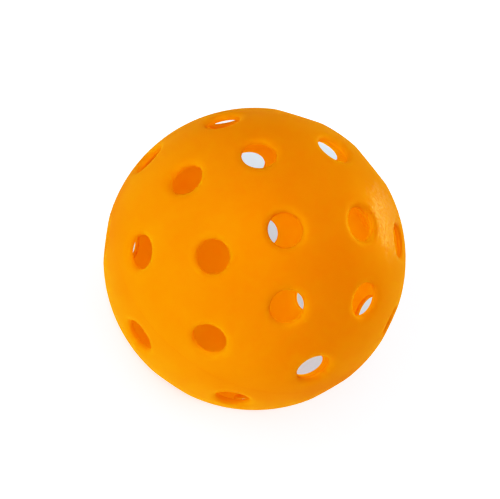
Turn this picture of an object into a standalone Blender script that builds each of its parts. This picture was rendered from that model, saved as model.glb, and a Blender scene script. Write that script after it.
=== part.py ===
"""A 40-hole outdoor pickleball ball: two identical half shells, welded rim to rim.

The origin is the centre of the ball and +Z is the hole pattern's four-fold axis,
so the weld lies in the plane z = 0. Lengths are in metres.
"""

import math

import bmesh
import bpy
from mathutils import Vector
from mathutils.geometry import delaunay_2d_cdt, interpolate_bezier

MM = 0.001

# Driving dimensions
BALL_RADIUS = 37.0 * MM
WALL = 1.8 * MM
HOLE_RADIUS = 4.1 * MM
FLARE_RADIUS = 6.5 * MM  # where the ball's surface starts to turn down into a hole
FLARE_DEPTH = 1.05 * MM  # from the ball's surface down to where the bore runs straight
FLARE_RUN_ON = 0.45  # how far the flare keeps to the ball's surface, as a part of its width
FLARE_TURN = Vector((0.12, 0.75))  # where it turns steep, as parts of its width and depth
WELD_HEIGHT = 0.5 * MM  # the layer that melted and set again between the rims
WELD_GAP = 0.1 * MM  # between that layer and each rim
BEAD_RADIUS = 0.6 * MM  # the bead that the weld squeezes out inside the ball

# One half's rings of holes: degrees from the pole, how many, and the first one's azimuth
HOLE_RINGS = ((23.7, 4, 0.0), (49.8, 8, 22.5), (76.0, 8, 0.0))
# How far the lower half is turned about +Z before it is welded on
LOWER_TWIST = math.radians(-22.5)

# How finely the curves are cut
HOLE_STEPS = 16
FLARE_STEPS = 3
EQUATOR_STEPS = 64
BEAD_STEPS = 4
SKIN_SPACING = math.radians(7.0)

SHELL_COLOUR = (0.92, 0.28, 0.005, 1.0)
WELD_COLOUR = (0.88, 0.30, 0.005, 1.0)

INNER_RADIUS = BALL_RADIUS - WALL
RIM_HEIGHT = WELD_HEIGHT / 2 + WELD_GAP


def clear_scene():
    for obj in list(bpy.data.objects):
        bpy.data.objects.remove(obj, do_unlink=True)


def plastic(name, colour, roughness):
    material = bpy.data.materials.new(name)
    material.use_nodes = True
    shader = material.node_tree.nodes["Principled BSDF"]
    shader.inputs["Base Color"].default_value = colour
    shader.inputs["Roughness"].default_value = roughness
    shader.inputs["Metallic"].default_value = 0.0
    shader.inputs["IOR"].default_value = 1.51
    return material


def direction(polar, azimuth):
    return Vector(
        (
            math.sin(polar) * math.cos(azimuth),
            math.sin(polar) * math.sin(azimuth),
            math.cos(polar),
        )
    )


def hole_directions():
    """The axis of each of one half's holes, as a unit vector from the ball's centre."""
    return [
        direction(math.radians(polar), math.radians(first) + k * math.tau / count)
        for polar, count, first in HOLE_RINGS
        for k in range(count)
    ]


def hole_loop(bm, axis, across, along):
    """A loop of vertices around a hole's axis: `across` is its radius, `along` its distance
    from the ball's centre."""
    side = Vector((0.0, 0.0, 1.0)).cross(axis).normalized()
    up = axis.cross(side)
    angles = [k * math.tau / HOLE_STEPS for k in range(HOLE_STEPS)]
    return [
        bm.verts.new(axis * along + (side * math.cos(a) + up * math.sin(a)) * across)
        for a in angles
    ]


def hole_profile():
    """(across, along) points from the ball's outer surface, down the flare and the bore to the
    inner surface. The flare leaves the ball along its surface and turns steep near the bore."""
    slope = math.asin(FLARE_RADIUS / BALL_RADIUS)
    size = Vector((FLARE_RADIUS - HOLE_RADIUS, FLARE_DEPTH))
    top = Vector((FLARE_RADIUS, BALL_RADIUS * math.cos(slope)))
    bore_top = math.sqrt(BALL_RADIUS**2 - HOLE_RADIUS**2) - FLARE_DEPTH
    bottom = Vector((HOLE_RADIUS, bore_top))
    along_the_ball = Vector((-math.cos(slope), math.sin(slope)))
    first_handle = top + along_the_ball * FLARE_RUN_ON * size.x
    second_handle = bottom + FLARE_TURN * size
    flare = interpolate_bezier(top, first_handle, second_handle, bottom, FLARE_STEPS + 1)
    bore_end = math.sqrt(INNER_RADIUS**2 - HOLE_RADIUS**2)
    return [*flare, Vector((HOLE_RADIUS, bore_end))]


def equator_loop(bm, radius):
    """A loop of vertices where the sphere of this radius meets the rim's plane."""
    polar = math.acos(RIM_HEIGHT / radius)
    return [
        bm.verts.new(direction(polar, k * math.tau / EQUATOR_STEPS) * radius)
        for k in range(EQUATOR_STEPS)
    ]


def filler_points(bm, radius, hole_angle):
    """Vertices on the sphere in even rings, clear of the holes and of the rim."""
    axes = hole_directions()
    clear_of_hole = hole_angle + SKIN_SPACING / 2
    points = [bm.verts.new((0.0, 0.0, radius))]
    ring_count = round(math.pi / 2 / SKIN_SPACING)
    for ring in range(1, ring_count):
        polar = ring * math.pi / 2 / ring_count
        count = 4 * round(math.tau * math.sin(polar) / SKIN_SPACING / 4)
        for k in range(count):
            point = direction(polar, (k + 0.5 * (ring % 2)) * math.tau / count)
            if min(point.angle(axis) for axis in axes) > clear_of_hole:
                points.append(bm.verts.new(point * radius))
    return points


def stereographic(point, radius):
    """The point seen from the lower pole, on the plane of the equator. Circles on the sphere
    stay circles, so a Delaunay mesh there is one on the sphere too."""
    return Vector((point.x, point.y)) / (radius + point.z)


def add_skin(bm, radius, hole_loops, rim):
    """Fills the sphere of this radius between the hole loops and the rim with triangles."""
    hole_angle = hole_loops[0][0].co.angle(hole_directions()[0])
    loops = [*hole_loops, rim]
    verts = [vert for loop in loops for vert in loop]
    edges = []
    first = 0
    for loop in loops:
        edges += [(first + k, first + (k + 1) % len(loop)) for k in range(len(loop))]
        first += len(loop)
    owner = [n for n, loop in enumerate(loops) for _ in loop]
    fillers = filler_points(bm, radius, hole_angle)
    verts += fillers
    owner += [None] * len(fillers)
    flat = [stereographic(vert.co, radius) for vert in verts]
    triangles = delaunay_2d_cdt(flat, edges, [], 0, 1e-9)[2]
    for corners in triangles:
        owners = {owner[corner] for corner in corners}
        across_a_hole = len(owners) == 1 and owners != {None}
        if not across_a_hole:
            bm.faces.new([verts[corner] for corner in corners])


def bridge(bm, first, second):
    """A closed band of quads between two loops with as many vertices each."""
    count = len(first)
    for k in range(count):
        after = (k + 1) % count
        bm.faces.new((first[k], first[after], second[after], second[k]))


def finish_mesh(bm, name):
    bmesh.ops.recalc_face_normals(bm, faces=bm.faces)
    mesh = bpy.data.meshes.new(name)
    bm.to_mesh(mesh)
    bm.free()
    mesh.shade_smooth()
    mesh.set_sharp_from_angle(angle=math.radians(40.0))
    return mesh


def half_shell_mesh():
    """One moulded half, with its pole up and its rim in the plane z = RIM_HEIGHT."""
    bm = bmesh.new()
    profile = hole_profile()
    holes = [
        [hole_loop(bm, axis, across, along) for across, along in profile]
        for axis in hole_directions()
    ]
    for loops in holes:
        for outer, inner in zip(loops, loops[1:]):
            bridge(bm, outer, inner)
    outer_rim = equator_loop(bm, BALL_RADIUS)
    inner_rim = equator_loop(bm, INNER_RADIUS)
    bridge(bm, outer_rim, inner_rim)
    add_skin(bm, BALL_RADIUS, [loops[0] for loops in holes], outer_rim)
    add_skin(bm, INNER_RADIUS, [loops[-1] for loops in holes], inner_rim)
    return finish_mesh(bm, "half_shell")


def weld_profile():
    """(distance from the axis, height) round the weld's section: flush with the ball outside,
    a thin layer between the rims, and a half-round bead inside the ball."""
    half = WELD_HEIGHT / 2
    edge = math.sqrt(BALL_RADIUS**2 - half**2)
    bead_centre = INNER_RADIUS - WELD_GAP
    bead = [
        (
            bead_centre - BEAD_RADIUS * math.sin(k * math.pi / BEAD_STEPS),
            BEAD_RADIUS * math.cos(k * math.pi / BEAD_STEPS),
        )
        for k in range(BEAD_STEPS + 1)
    ]
    above = [(edge, half), (bead_centre, half)]
    below = [(bead_centre, -half), (edge, -half)]
    return [*above, *bead, *below, (BALL_RADIUS, 0.0)]


def weld_mesh():
    """The weld as a ring: its section turned about +Z."""
    bm = bmesh.new()
    loops = []
    for across, height in weld_profile():
        loops.append(
            [
                bm.verts.new(
                    (
                        across * math.cos(k * math.tau / EQUATOR_STEPS),
                        across * math.sin(k * math.tau / EQUATOR_STEPS),
                        height,
                    )
                )
                for k in range(EQUATOR_STEPS)
            ]
        )
    for first, second in zip(loops, loops[1:] + loops[:1]):
        bridge(bm, first, second)
    return finish_mesh(bm, "weld_seam")


def add_piece(name, mesh, material, rotation=(0.0, 0.0, 0.0)):
    obj = bpy.data.objects.new(name, mesh)
    obj.rotation_euler = rotation
    mesh.materials.append(material)
    bpy.context.scene.collection.objects.link(obj)
    return obj


def main():
    clear_scene()
    half_shell = half_shell_mesh()
    add_piece(
        "upper_half_shell",
        half_shell,
        plastic("upper_shell_plastic", SHELL_COLOUR, 0.42),
    )
    add_piece(
        "lower_half_shell",
        half_shell.copy(),
        plastic("lower_shell_plastic", SHELL_COLOUR, 0.42),
        rotation=(math.pi, 0.0, LOWER_TWIST),
    )
    add_piece("weld_seam", weld_mesh(), plastic("weld_plastic", WELD_COLOUR, 0.35))


main()
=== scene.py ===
"""The looks of a 40-hole pickleball ball: two fine half shells and the weld that joins them.

Everything is in metres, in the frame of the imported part: the origin is the centre of the
ball and +Z is the hole pattern's four-fold axis.
"""

import math

import bmesh
import bpy
from mathutils import Matrix, Vector
from mathutils.geometry import delaunay_2d_cdt, interpolate_bezier


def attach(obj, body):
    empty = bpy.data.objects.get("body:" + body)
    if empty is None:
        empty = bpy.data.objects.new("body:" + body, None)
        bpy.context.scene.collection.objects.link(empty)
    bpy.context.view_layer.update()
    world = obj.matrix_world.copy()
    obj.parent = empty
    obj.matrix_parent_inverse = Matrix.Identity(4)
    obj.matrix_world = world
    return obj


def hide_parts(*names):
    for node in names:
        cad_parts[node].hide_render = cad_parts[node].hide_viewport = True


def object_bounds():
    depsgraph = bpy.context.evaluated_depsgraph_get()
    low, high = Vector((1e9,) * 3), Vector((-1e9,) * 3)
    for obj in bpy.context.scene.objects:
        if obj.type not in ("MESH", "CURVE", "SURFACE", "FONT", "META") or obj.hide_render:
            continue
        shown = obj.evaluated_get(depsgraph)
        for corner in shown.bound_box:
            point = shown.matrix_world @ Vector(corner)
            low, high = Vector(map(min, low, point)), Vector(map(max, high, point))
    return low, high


MM = 0.001

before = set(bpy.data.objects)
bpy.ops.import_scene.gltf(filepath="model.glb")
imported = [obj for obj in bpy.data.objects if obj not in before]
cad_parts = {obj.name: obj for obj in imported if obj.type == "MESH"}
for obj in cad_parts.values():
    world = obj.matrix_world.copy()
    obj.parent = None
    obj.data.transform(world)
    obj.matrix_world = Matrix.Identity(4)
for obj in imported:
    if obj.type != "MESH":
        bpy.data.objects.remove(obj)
CAD_LOW, CAD_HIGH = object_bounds()

# The ball, from the frame and the hole pattern's own numbers
BALL_RADIUS = CAD_HIGH.z
WALL = 1.8 * MM
INNER_RADIUS = BALL_RADIUS - WALL
HOLE_RADIUS = 4.1 * MM
FLARE_RADIUS = 6.5 * MM  # where the ball's surface starts to turn down into a hole
FLARE_DEPTH = 1.05 * MM  # from the ball's surface down to where the bore runs straight
FLARE_RUN_ON = 0.45  # how far the flare keeps to the ball's surface, as a part of its width
FLARE_TURN = Vector((0.12, 0.75))  # where it turns steep, as parts of its width and depth
INNER_EDGE = 0.25 * MM  # the small rounding where the bore meets the inner surface
WELD_HEIGHT = 0.5 * MM
BEAD_RADIUS = 0.6 * MM  # the bead that the weld squeezed out inside the ball
LIP_DEPTH = 0.12 * MM  # the skin of each half that was wiped over the weld as it was trimmed
LIP_GAP = 0.02 * MM  # from the weld's middle to each of those skins

# One half's rings of holes: degrees from the pole, how many, and the first one's azimuth
HOLE_RINGS = ((23.7, 4, 0.0), (49.8, 8, 22.5), (76.0, 8, 0.0))
LOWER_TWIST = math.radians(-22.5)  # how far the lower half is turned about +Z

# The material slots of a half shell
OUTSIDE = 0
BORE = 1
INSIDE = 2

# How finely the surfaces are cut
HOLE_STEPS = 72
FLARE_STEPS = 12
BORE_STEPS = 3
INNER_EDGE_STEPS = 4
EQUATOR_STEPS = 288
BEAD_STEPS = 14
SKIN_SPACING = math.radians(2.2)
SHARP_ANGLE = math.radians(50.0)  # edges that turn more than this are drawn sharp

# The camera: where it stands round the ball, how far away, and what it takes in
CAMERA_AZIMUTH = math.radians(-5.374)
CAMERA_ELEVATION = math.radians(50.592)
CAMERA_ROLL = math.radians(38.216)
CAMERA_DISTANCE = 19.49 * BALL_RADIUS
FRAME_WIDTH = 3.3085 * BALL_RADIUS  # what fits across the picture at the ball's centre
CAMERA_RIGHT = -0.030 * BALL_RADIUS
CAMERA_UP = 0.062 * BALL_RADIUS
SENSOR_WIDTH = 36.0

# The tone curve's points, as light and how bright it is shown: a little darker than it is at
# the bottom, a little brighter in the middle, and a soft shoulder to white
TONE_CURVE = (
    (0.10, 0.075),
    (0.20, 0.170),
    (0.27, 0.255),
    (0.33, 0.330),
    (0.45, 0.480),
    (0.60, 0.640),
    (0.77, 0.800),
    (0.90, 0.900),
    (1.00, 0.955),
)
BRIGHTEST = 1.15  # the light that is shown as full white

# The plastic. Each pair is the two colours that faint clouds run between
SHELL_DARK = (0.895, 0.275, 0.0)
SHELL_LIGHT = (0.925, 0.295, 0.001)
# The inside's pair is a lighter copy of the shell's colour, painted light that stands in for the
# light that comes through the wall
INSIDE_DARK = (0.95, 0.44, 0.0)
INSIDE_LIGHT = (0.96, 0.48, 0.001)
NOISE_SPAN = (0.3, 0.7)  # what nearly all of a noise's values lie between
CLOUD_SCALE = 90.0
SHELL_ROUGHNESS = 0.36
INSIDE_ROUGHNESS = 0.55
EDGE_ROUGHNESS = 0.50  # the holes' walls and the weld
ROUGHNESS_SPREAD = (-0.05, 0.07)  # how far the finest grain takes it either way
FINE_SCALE = 2600.0  # the finest grain, all over
FINE_SPAN = (0.25, 0.75)
FINE_STRENGTH = 0.35
FINE_DEPTH = 0.04 * MM

# The light that spreads inside the wall
SOFTNESS = 0.6
SOFT_RADIUS = (1.4, 0.8, 0.1)  # red light goes furthest
SOFT_SCALE = 5.2 * MM
SEAM_HARD = 1.0 * MM  # none this close to the weld's plane
SEAM_SOFT = 7.0 * MM  # all of it from this far

# A painted glow on the inside, the holes' walls and the weld: emission that stands in for the
# light that comes through the wall, seen from inside
GLOW_DIM = (0.050, 0.045, 0.0)
GLOW_BRIGHT = (0.185, 0.094, 0.0)
GLOW_FROM = -0.5 * BALL_RADIUS  # along the camera's right, where it starts to grow
GLOW_TO = 0.4 * BALL_RADIUS
BORE_GLOW = 0.5  # how much of it the holes' walls have

# The gloss, and the grainy patch that catches a light. Directions are the camera's
GLOSS = 0.04
SHEEN = 0.055
SHEEN_COAT = 0.08
COAT_ROUGHNESS = 0.3
SHEEN_TOWARDS = (0.86, 0.26, 0.44)
SHEEN_ALONG = (-0.30, 0.95, 0.0)
SHEEN_SIZE = (0.25 * BALL_RADIUS, 0.12 * BALL_RADIUS, 0.3 * BALL_RADIUS)
SHEEN_FADE = (0.85, 1.15)  # from full to none, as parts of its size
RAGGED_SCALE = 700.0
RAGGED = 0.30  # how far the patch's edge wanders, as a part of its size
GRAIN_SCALE = 1250.0
GRAIN_DEPTH = 0.16 * MM
SPECKLE_SPAN = (0.40, 0.60)  # the grain's low and high places
SPECKLE = (0.3, 1.3)  # how much of the sheen each of them has
GRAIN_ELSEWHERE = 0.15  # how strong that grain is outside the patch

# The floor, and the darker, bluer shadow of the ball that is painted on it
FLOOR_COLOUR = (0.90, 0.89, 0.88)
FLOOR_GLOW = (0.53, 0.55, 0.60)
FLOOR_HALF = 4.0  # from its middle to each side
FLOOR_CELLS = 24
FLOOR_ROUGHNESS = 0.8
SHADE_COLOUR = (0.48, 0.56, 0.62)
SHADE_GLOW = (0.31, 0.35, 0.41)
SHADE_START = 0.96  # where the painted shadow starts to fade, as a part of the ball's outline on it
SHADE_END = 1.06

# The soft boxes: where each stands, along the camera's right, up and back, side and power
LIGHT_DISTANCE = 0.9
SOFT_BOXES = {
    "key_box": ((-0.05, 0.41, 0.91), 0.8, 5.5),
    "front_box": ((0.15, -0.05, 0.99), 0.8, 2.4),
    "left_box": ((-0.50, 0.10, 0.86), 0.8, 1.5),
    "rim_box": ((0.89, 0.27, -0.36), 0.4, 4.6),
}
ROOM_COLOUR = (0.97, 0.98, 1.0)
ROOM_LIGHT = 0.03


# ---------------------------------------------------------------- node helpers


class Nodes:
    """A new material's node tree, with short ways to add nodes and links."""

    def __init__(self, name):
        self.material = bpy.data.materials.new(name)
        self.material.use_nodes = True
        self.tree = self.material.node_tree
        self.shader = self.tree.nodes["Principled BSDF"]
        self.place = self.add("TexCoord").outputs["Object"]

    def add(self, kind, **settings):
        """A new node. A setting is one of its properties or, failing that, one of its sockets."""
        node = self.tree.nodes.new("ShaderNode" + kind)
        for key, value in settings.items():
            if hasattr(node, key):
                setattr(node, key, value)
            else:
                node.inputs[key.replace("_", " ")].default_value = value
        return node

    def link(self, source, target):
        self.tree.links.new(source, target)

    def feed(self, name, source):
        """Links a source to one of the shader's sockets."""
        self.link(source, self.shader.inputs[name])

    def set(self, name, value):
        """Gives one of the shader's sockets a fixed value."""
        self.shader.inputs[name].default_value = value

    def math(self, operation, first, second=None):
        node = self.add("Math", operation=operation)
        self.link(first, node.inputs[0])
        if isinstance(second, float):
            node.inputs[1].default_value = second
        elif second is not None:
            self.link(second, node.inputs[1])
        return node.outputs["Value"]

    def how_far_along(self, axis):
        """How far along this axis a point is, from the ball's centre."""
        node = self.add("VectorMath", operation="DOT_PRODUCT")
        self.link(self.place, node.inputs[0])
        node.inputs[1].default_value = axis
        return node.outputs["Value"]

    def how_far_out(self, centre, turn, size):
        """0 at the centre of an ellipsoid of this half-size, and 1 on its surface."""
        mapping = self.add("Mapping", vector_type="TEXTURE")
        self.link(self.place, mapping.inputs["Vector"])
        mapping.inputs["Location"].default_value = centre
        mapping.inputs["Rotation"].default_value = turn
        mapping.inputs["Scale"].default_value = size
        length = self.add("VectorMath", operation="LENGTH")
        self.link(mapping.outputs["Vector"], length.inputs[0])
        return length.outputs["Value"]

    def noise(self, scale, detail):
        node = self.add("TexNoise", Scale=scale, Detail=detail)
        self.link(self.place, node.inputs["Vector"])
        return node.outputs["Fac"]

    def map_range(self, value, from_low, from_high, to_low=0.0, to_high=1.0):
        node = self.add("MapRange")
        self.link(value, node.inputs["Value"])
        for key, number in (
            ("From Min", from_low),
            ("From Max", from_high),
            ("To Min", to_low),
            ("To Max", to_high),
        ):
            node.inputs[key].default_value = number
        return node.outputs["Result"]

    def mix_colour(self, factor, first, second):
        node = self.add("Mix", data_type="RGBA")
        self.link(factor, node.inputs["Factor"])
        colours = [socket for socket in node.inputs if socket.type == "RGBA"]
        for socket, colour in zip(colours, (first, second)):
            socket.default_value = (*colour, 1.0)
        return next(socket for socket in node.outputs if socket.type == "RGBA")

    def bump(self, height, strength, distance, under=None):
        node = self.add("Bump", Distance=distance)
        if isinstance(strength, float):
            node.inputs["Strength"].default_value = strength
        else:
            self.link(strength, node.inputs["Strength"])
        self.link(height, node.inputs["Height"])
        if under is not None:
            self.link(under, node.inputs["Normal"])
        return node.outputs["Normal"]


# ------------------------------------------------------------------- materials


def polyethylene(name, dark, light, roughness):
    """Moulded polyethylene: faint clouds in the colour and a fine, shallow grain."""
    nodes = Nodes(name)
    clouds = nodes.map_range(nodes.noise(CLOUD_SCALE, 3.0), *NOISE_SPAN)
    nodes.feed("Base Color", nodes.mix_colour(clouds, dark, light))
    nodes.grain = nodes.noise(FINE_SCALE, 2.0)
    least, most = (roughness + part for part in ROUGHNESS_SPREAD)
    nodes.feed("Roughness", nodes.map_range(nodes.grain, *FINE_SPAN, least, most))
    nodes.set("Specular IOR Level", 0.0)
    return nodes


def add_softness(nodes):
    """Light spreads inside the wall, except close to the weld."""
    parts = nodes.add("SeparateXYZ")
    nodes.link(nodes.place, parts.inputs["Vector"])
    height = nodes.math("ABSOLUTE", parts.outputs["Z"])
    nodes.feed(
        "Subsurface Weight", nodes.map_range(height, SEAM_HARD, SEAM_SOFT, 0.0, SOFTNESS)
    )
    nodes.set("Subsurface Radius", SOFT_RADIUS)
    nodes.set("Subsurface Scale", SOFT_SCALE)


def add_inner_glow(nodes, strength):
    """A painted glow that stands in for the light that comes through the wall from outside,
    strongest on the rim box's side.
    """
    right = camera_axes()[0]
    side = nodes.map_range(nodes.how_far_along(right), GLOW_FROM, GLOW_TO)
    nodes.feed("Emission Color", nodes.mix_colour(side, GLOW_DIM, GLOW_BRIGHT))
    nodes.set("Emission Strength", strength)


def add_sheen(nodes):
    """A faint gloss, and a patch where the grain is deep and shiny enough to be seen."""
    aim = along_camera(SHEEN_TOWARDS)
    across = along_camera(SHEEN_ALONG).cross(aim).normalized()
    turn = Matrix((aim.cross(across), across, aim)).transposed()
    far = nodes.how_far_out(aim * BALL_RADIUS, turn.to_euler(), SHEEN_SIZE)
    ragged = nodes.noise(RAGGED_SCALE, 3.0)
    wander = nodes.map_range(ragged, *NOISE_SPAN, -RAGGED, RAGGED)
    far = nodes.math("ADD", far, wander)
    patch = nodes.map_range(far, *SHEEN_FADE, 1.0, 0.0)
    coarse = nodes.noise(GRAIN_SCALE, 2.0)
    speckle = nodes.map_range(coarse, *SPECKLE_SPAN, *SPECKLE)
    sheen = nodes.math("MULTIPLY", patch, speckle)
    metallic = nodes.math("MULTIPLY", sheen, SHEEN)
    nodes.feed("Metallic", nodes.math("ADD", metallic, GLOSS))
    nodes.feed("Coat Weight", nodes.math("MULTIPLY", sheen, SHEEN_COAT))
    nodes.set("Coat Roughness", COAT_ROUGHNESS)
    strength = nodes.map_range(patch, 0.0, 1.0, GRAIN_ELSEWHERE, 1.0)
    under = nodes.bump(coarse, strength, GRAIN_DEPTH)
    nodes.feed("Normal", nodes.bump(nodes.grain, FINE_STRENGTH, FINE_DEPTH, under))


def floor_material():
    """Pale, with a painted shadow of the ball, darker and bluer in colour and glow, on the side
    away from the front light.
    """
    nodes = Nodes("studio_floor_painted_shadow")
    back = camera_axes()[2]
    outline = (BALL_RADIUS, BALL_RADIUS / back.z, 1.0)
    far = nodes.how_far_out(
        back * CAD_LOW.z / back.z, (0.0, 0.0, CAMERA_AZIMUTH), outline
    )
    # the painted shadow: darker, bluer colour and glow inside the ball's outline on the floor
    lit = nodes.map_range(far, SHADE_START, SHADE_END)
    nodes.feed("Base Color", nodes.mix_colour(lit, SHADE_COLOUR, FLOOR_COLOUR))
    nodes.feed("Emission Color", nodes.mix_colour(lit, SHADE_GLOW, FLOOR_GLOW))
    nodes.set("Emission Strength", 1.0)
    nodes.set("Roughness", FLOOR_ROUGHNESS)
    nodes.set("Specular IOR Level", 0.0)
    return nodes.material


# ------------------------------------------------------------- shell geometry


def direction(polar, azimuth):
    """The unit vector at this angle from the pole."""
    return Vector(
        (
            math.sin(polar) * math.cos(azimuth),
            math.sin(polar) * math.sin(azimuth),
            math.cos(polar),
        )
    )


def hole_directions():
    """The axis of each of one half's holes, as a unit vector from the ball's centre."""
    return [
        direction(math.radians(polar), math.radians(first) + k * math.tau / count)
        for polar, count, first in HOLE_RINGS
        for k in range(count)
    ]


def hole_profile():
    """(across, along) points from the ball's surface, down the flare and the bore, and round
    the inner edge to the inner surface."""
    slope = math.asin(FLARE_RADIUS / BALL_RADIUS)
    size = Vector((FLARE_RADIUS - HOLE_RADIUS, FLARE_DEPTH))
    top = Vector((FLARE_RADIUS, BALL_RADIUS * math.cos(slope)))
    bore_top = math.sqrt(BALL_RADIUS**2 - HOLE_RADIUS**2) - FLARE_DEPTH
    bottom = Vector((HOLE_RADIUS, bore_top))
    along_the_ball = Vector((-math.cos(slope), math.sin(slope)))
    run_on = top + along_the_ball * FLARE_RUN_ON * size.x
    turn = bottom + FLARE_TURN * size
    profile = interpolate_bezier(top, run_on, turn, bottom, FLARE_STEPS + 1)
    edge_across = HOLE_RADIUS + INNER_EDGE
    edge_along = math.sqrt(INNER_RADIUS**2 - edge_across**2)
    bore_end = Vector((HOLE_RADIUS, edge_along + INNER_EDGE))
    profile += [bottom.lerp(bore_end, k / BORE_STEPS) for k in range(1, BORE_STEPS + 1)]
    for k in range(1, INNER_EDGE_STEPS + 1):
        angle = k * math.pi / 2 / INNER_EDGE_STEPS
        across = edge_across - INNER_EDGE * math.cos(angle)
        along = edge_along + INNER_EDGE * (1 - math.sin(angle))
        profile.append(Vector((across, along)))
    return profile


def hole_loop(bm, axis, across, along):
    """A loop of vertices round a hole's axis, this far from it and this far along it."""
    side = Vector((0.0, 0.0, 1.0)).cross(axis).normalized()
    up = axis.cross(side)
    angles = [k * math.tau / HOLE_STEPS for k in range(HOLE_STEPS)]
    return [
        bm.verts.new(axis * along + (side * math.cos(a) + up * math.sin(a)) * across)
        for a in angles
    ]


def level_loop(bm, across, height):
    """A loop of vertices round the Z axis."""
    angles = [k * math.tau / EQUATOR_STEPS for k in range(EQUATOR_STEPS)]
    return [
        bm.verts.new((across * math.cos(a), across * math.sin(a), height)) for a in angles
    ]


def sphere_loop(bm, radius, height):
    """A loop of vertices where the sphere of this radius is at this height."""
    return level_loop(bm, math.sqrt(radius**2 - height**2), height)


def filler_points(bm, radius, hole_angle):
    """Vertices on the sphere in even rings, clear of the holes and of the rim."""
    axes = hole_directions()
    nearest_allowed = math.cos(hole_angle + SKIN_SPACING / 2)
    points = [bm.verts.new((0.0, 0.0, radius))]
    ring_count = round(math.pi / 2 / SKIN_SPACING)
    for ring in range(1, ring_count):
        polar = ring * math.pi / 2 / ring_count
        count = 4 * round(math.tau * math.sin(polar) / SKIN_SPACING / 4)
        for k in range(count):
            point = direction(polar, (k + 0.5 * (ring % 2)) * math.tau / count)
            if max(point.dot(axis) for axis in axes) < nearest_allowed:
                points.append(bm.verts.new(point * radius))
    return points


def add_skin(bm, radius, hole_loops, rim):
    """Fills the sphere of this radius between the hole loops and the rim with triangles.
    Seen from the lower pole on the equator's plane, circles on the sphere stay circles, so a
    Delaunay mesh there is one on the sphere too."""
    hole_angle = hole_loops[0][0].co.angle(hole_directions()[0])
    loops = [*hole_loops, rim]
    verts = [vert for loop in loops for vert in loop]
    edges = []
    first = 0
    for loop in loops:
        edges += [(first + k, first + (k + 1) % len(loop)) for k in range(len(loop))]
        first += len(loop)
    owner = [n for n, loop in enumerate(loops) for _ in loop]
    fillers = filler_points(bm, radius, hole_angle)
    verts += fillers
    owner += [None] * len(fillers)
    flat = [Vector((v.co.x, v.co.y)) / (radius + v.co.z) for v in verts]
    for corners in delaunay_2d_cdt(flat, edges, [], 0, 1e-9)[2]:
        owners = {owner[corner] for corner in corners}
        across_a_hole = len(owners) == 1 and owners != {None}
        if not across_a_hole:
            bm.faces.new([verts[corner] for corner in corners])


def bridge(bm, first, second, slot=OUTSIDE):
    """A closed band of quads between two loops with as many vertices each."""
    count = len(first)
    for k in range(count):
        after = (k + 1) % count
        face = bm.faces.new((first[k], first[after], second[after], second[k]))
        face.material_index = slot


def half_shell_mesh():
    """One half, with its pole up and its rim face on the weld."""
    bm = bmesh.new()
    profile = hole_profile()
    holes = [
        [hole_loop(bm, axis, point.x, point.y) for point in profile]
        for axis in hole_directions()
    ]
    for loops in holes:
        for band, (outer, inner) in enumerate(zip(loops, loops[1:])):
            bridge(bm, outer, inner, OUTSIDE if band < FLARE_STEPS else BORE)
    rim_height = WELD_HEIGHT / 2
    rim = [
        sphere_loop(bm, BALL_RADIUS, LIP_GAP),
        sphere_loop(bm, BALL_RADIUS - LIP_DEPTH, LIP_GAP),
        sphere_loop(bm, BALL_RADIUS - LIP_DEPTH, rim_height),
        sphere_loop(bm, INNER_RADIUS, rim_height),
    ]
    for outer, inner in zip(rim, rim[1:]):
        bridge(bm, outer, inner)
    add_skin(bm, BALL_RADIUS, [loops[0] for loops in holes], rim[0])
    outer_faces = len(bm.faces)
    add_skin(bm, INNER_RADIUS, [loops[-1] for loops in holes], rim[-1])
    bm.faces.ensure_lookup_table()
    for face in bm.faces[outer_faces:]:
        face.material_index = INSIDE
    return finish_mesh(bm, "half_shell")


def weld_mesh():
    """The weld: a thin layer between the rims, up to the skin that was wiped over it outside,
    and a rolled bead inside."""
    half = WELD_HEIGHT / 2
    outside = BALL_RADIUS - 2 * LIP_DEPTH
    turns = [k * math.pi / BEAD_STEPS for k in range(BEAD_STEPS + 1)]
    bead = [
        (INNER_RADIUS - BEAD_RADIUS * math.sin(a), BEAD_RADIUS * math.cos(a)) for a in turns
    ]
    section = [(outside, -half), (outside, half), (INNER_RADIUS, half), *bead]
    section.append((INNER_RADIUS, -half))
    bm = bmesh.new()
    loops = [level_loop(bm, across, height) for across, height in section]
    for first, second in zip(loops, loops[1:] + loops[:1]):
        bridge(bm, first, second)
    return finish_mesh(bm, "weld")


def finish_mesh(bm, name):
    """The mesh of this bmesh, smooth but for its sharp edges."""
    bmesh.ops.recalc_face_normals(bm, faces=bm.faces)
    mesh = bpy.data.meshes.new(name)
    bm.to_mesh(mesh)
    bm.free()
    mesh.shade_smooth()
    mesh.set_sharp_from_angle(angle=SHARP_ANGLE)
    return mesh


def add_piece(name, mesh, materials, node):
    """A piece in the place of a CAD node."""
    for material in materials:
        mesh.materials.append(material)
    piece = bpy.data.objects.new(name, mesh)
    bpy.context.scene.collection.objects.link(piece)
    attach(piece, "root")
    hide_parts(node)


def shell_materials():
    """The outside's, the holes' walls' and the inside's, in the order of their slots."""
    outside = polyethylene("shell_polyethylene", SHELL_DARK, SHELL_LIGHT, SHELL_ROUGHNESS)
    add_softness(outside)
    add_sheen(outside)
    # The holes' walls and the inside get a painted glow, and the inside a lighter copy of the
    # shell's colour as painted light
    bore = polyethylene("bore_polyethylene_painted_glow", SHELL_DARK, SHELL_LIGHT, EDGE_ROUGHNESS)
    add_softness(bore)
    add_inner_glow(bore, BORE_GLOW)
    inside = polyethylene("inner_polyethylene_painted_light", INSIDE_DARK, INSIDE_LIGHT, INSIDE_ROUGHNESS)
    add_softness(inside)
    add_inner_glow(inside, 1.0)
    return [outside.material, bore.material, inside.material]


def weld_material():
    # The weld gets the inside's lighter, painted-lit colour and a painted glow
    nodes = polyethylene("weld_polyethylene_painted_light", INSIDE_DARK, INSIDE_LIGHT, EDGE_ROUGHNESS)
    add_inner_glow(nodes, 1.0)
    return nodes.material


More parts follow.
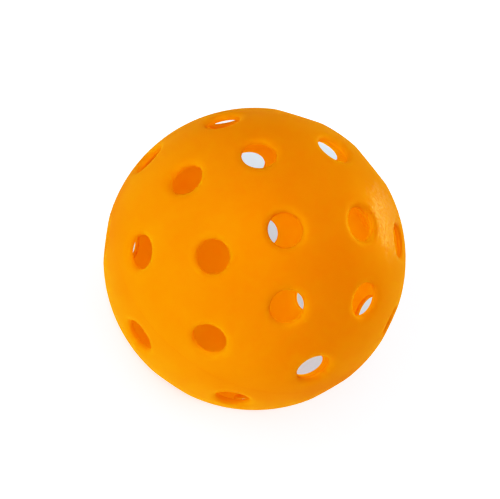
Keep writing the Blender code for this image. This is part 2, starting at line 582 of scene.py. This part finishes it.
def make_ball():
    materials = shell_materials()
    upper = half_shell_mesh()
    lower = upper.copy()
    turn = Matrix.Rotation(LOWER_TWIST, 4, "Z") @ Matrix.Rotation(math.pi, 4, "X")
    lower.transform(turn)
    add_piece("lower_shell", lower, materials, "lower_half_shell")
    add_piece("upper_shell", upper, materials, "upper_half_shell")
    add_piece("weld", weld_mesh(), [weld_material()], "weld_seam")


# ----------------------------------------------------------------------- stage


def camera_axes():
    """The camera's right, up and back directions."""
    a, e = CAMERA_AZIMUTH, CAMERA_ELEVATION
    back = Vector((math.sin(a) * math.cos(e), -math.cos(a) * math.cos(e), math.sin(e)))
    level = Vector((math.cos(a), math.sin(a), 0.0))
    over = back.cross(level)
    right = level * math.cos(CAMERA_ROLL) + over * math.sin(CAMERA_ROLL)
    return right, back.cross(right), back


def along_camera(towards):
    """The unit vector that has these parts along the camera's right, up and back."""
    parts = (axis * part for axis, part in zip(camera_axes(), towards))
    return sum(parts, Vector()).normalized()


def make_camera():
    right, up, back = camera_axes()
    data = bpy.data.cameras.new("camera")
    data.sensor_width = SENSOR_WIDTH
    data.lens = SENSOR_WIDTH * CAMERA_DISTANCE / FRAME_WIDTH
    data.clip_start = BALL_RADIUS
    data.clip_end = 100 * CAMERA_DISTANCE
    camera = bpy.data.objects.new("camera", data)
    turn = Matrix((right, up, back)).transposed().to_4x4()
    place = back * CAMERA_DISTANCE + right * CAMERA_RIGHT + up * CAMERA_UP
    camera.matrix_world = Matrix.Translation(place) @ turn
    bpy.context.scene.collection.objects.link(camera)
    bpy.context.scene.camera = camera


def add_soft_box(name, towards, side, power):
    """A square white light that faces the ball from this direction."""
    place = along_camera(towards) * LIGHT_DISTANCE
    data = bpy.data.lights.new(name, "AREA")
    data.shape = "SQUARE"
    data.size = side
    data.energy = power
    light = bpy.data.objects.new(name, data)
    light.location = place
    light.rotation_euler = place.to_track_quat("Z", "Y").to_euler()
    bpy.context.scene.collection.objects.link(light)


def make_lights():
    for name, (towards, side, power) in SOFT_BOXES.items():
        add_soft_box(name, towards, side, power)
    world = bpy.data.worlds.new("studio")
    world.use_nodes = True
    background = world.node_tree.nodes["Background"]
    background.inputs["Color"].default_value = (*ROOM_COLOUR, 1.0)
    background.inputs["Strength"].default_value = ROOM_LIGHT
    bpy.context.scene.world = world


def make_floor():
    """A wide, pale floor that the ball touches."""
    bm = bmesh.new()
    bmesh.ops.create_grid(bm, x_segments=FLOOR_CELLS, y_segments=FLOOR_CELLS, size=FLOOR_HALF)
    bmesh.ops.translate(bm, verts=bm.verts, vec=(0.0, 0.0, CAD_LOW.z))
    mesh = bpy.data.meshes.new("floor")
    bm.to_mesh(mesh)
    bm.free()
    mesh.materials.append(floor_material())
    floor = bpy.data.objects.new("floor", mesh)
    bpy.context.scene.collection.objects.link(floor)


def set_tone():
    """A tone curve that keeps the oranges flat and bright, with a soft shoulder to white."""
    settings = bpy.context.scene.view_settings
    settings.view_transform = "Standard"
    settings.look = "None"
    settings.use_curve_mapping = True
    curves = settings.curve_mapping
    curves.white_level = (BRIGHTEST, BRIGHTEST, BRIGHTEST)
    points = curves.curves[3].points
    for light, shown in TONE_CURVE:
        points.new(light / BRIGHTEST, shown)
    curves.update()


make_camera()
make_ball()
make_floor()
make_lights()
set_tone()
